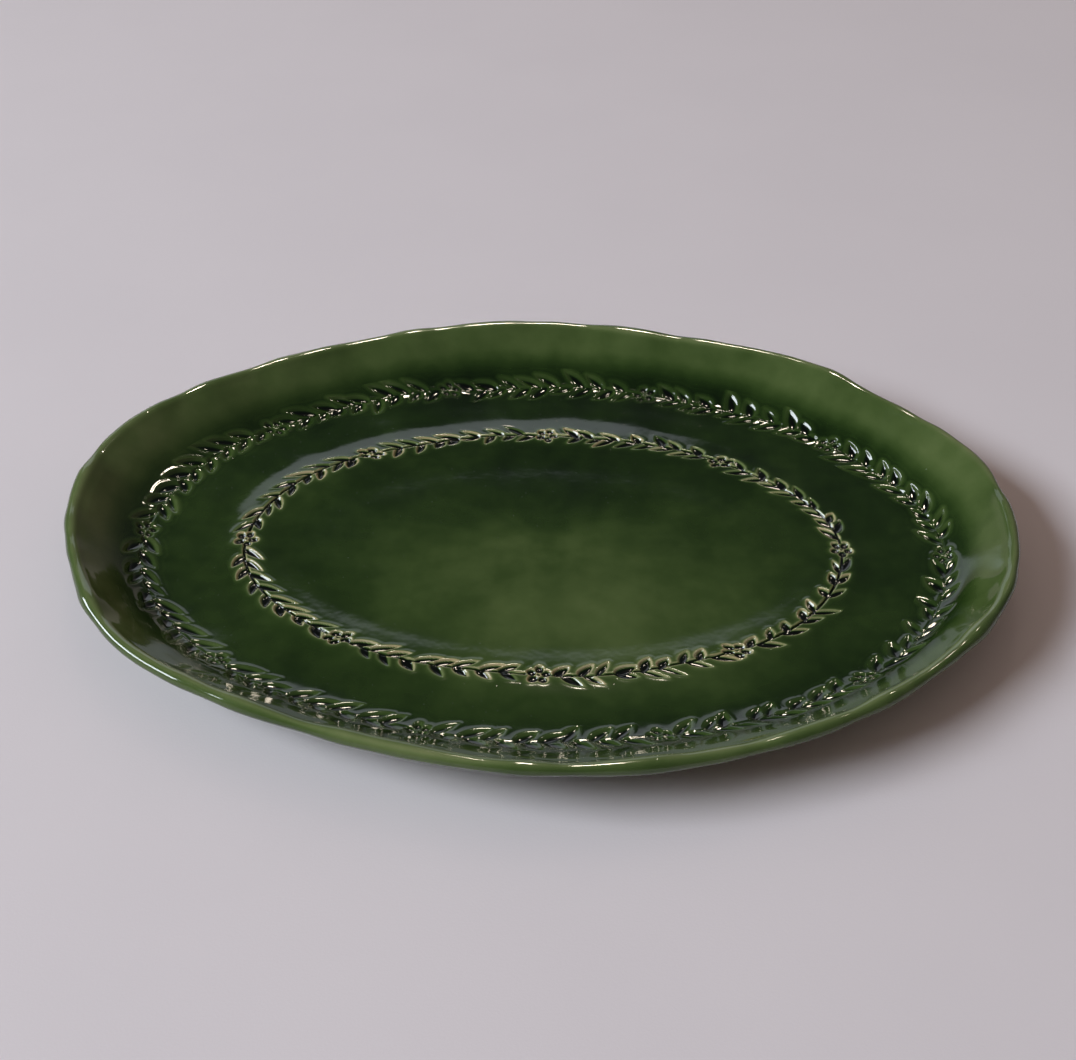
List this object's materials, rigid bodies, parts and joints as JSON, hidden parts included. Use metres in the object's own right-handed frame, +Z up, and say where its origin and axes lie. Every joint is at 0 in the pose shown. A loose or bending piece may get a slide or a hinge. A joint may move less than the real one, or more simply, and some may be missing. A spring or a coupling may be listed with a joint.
{
  "type": "oval serving platter",
  "caption": "Oval green-glazed earthenware serving platter with two impressed leaf wreaths, a sloping wall, a wavy hand-made lip and a foot ring.",
  "frame": {"origin": "on the table, at the middle of the platter's box", "axes": "+X along the platter, +Z up from the table, +Y across it"},
  "size_m": [0.4014, 0.295, 0.0327],
  "materials": {
    "clay": "fired buff earthenware body",
    "foot_clay": "bare fired clay, wiped and slightly sanded",
    "face_glaze": "glossy transparent green glaze, dark where it pools and pale where it breaks over edges",
    "outside_glaze": "glossy transparent green glaze, thinner over the lip",
    "base_glaze": "glossy transparent green glaze, brushed thinly inside the foot"
  },
  "bodies": {
    "root": {"clay_body": "clay", "foot_ring": "foot_clay", "glaze_face": "face_glaze", "glaze_outside": "outside_glaze", "glaze_base": "base_glaze"}
  },
  "joints": []
}
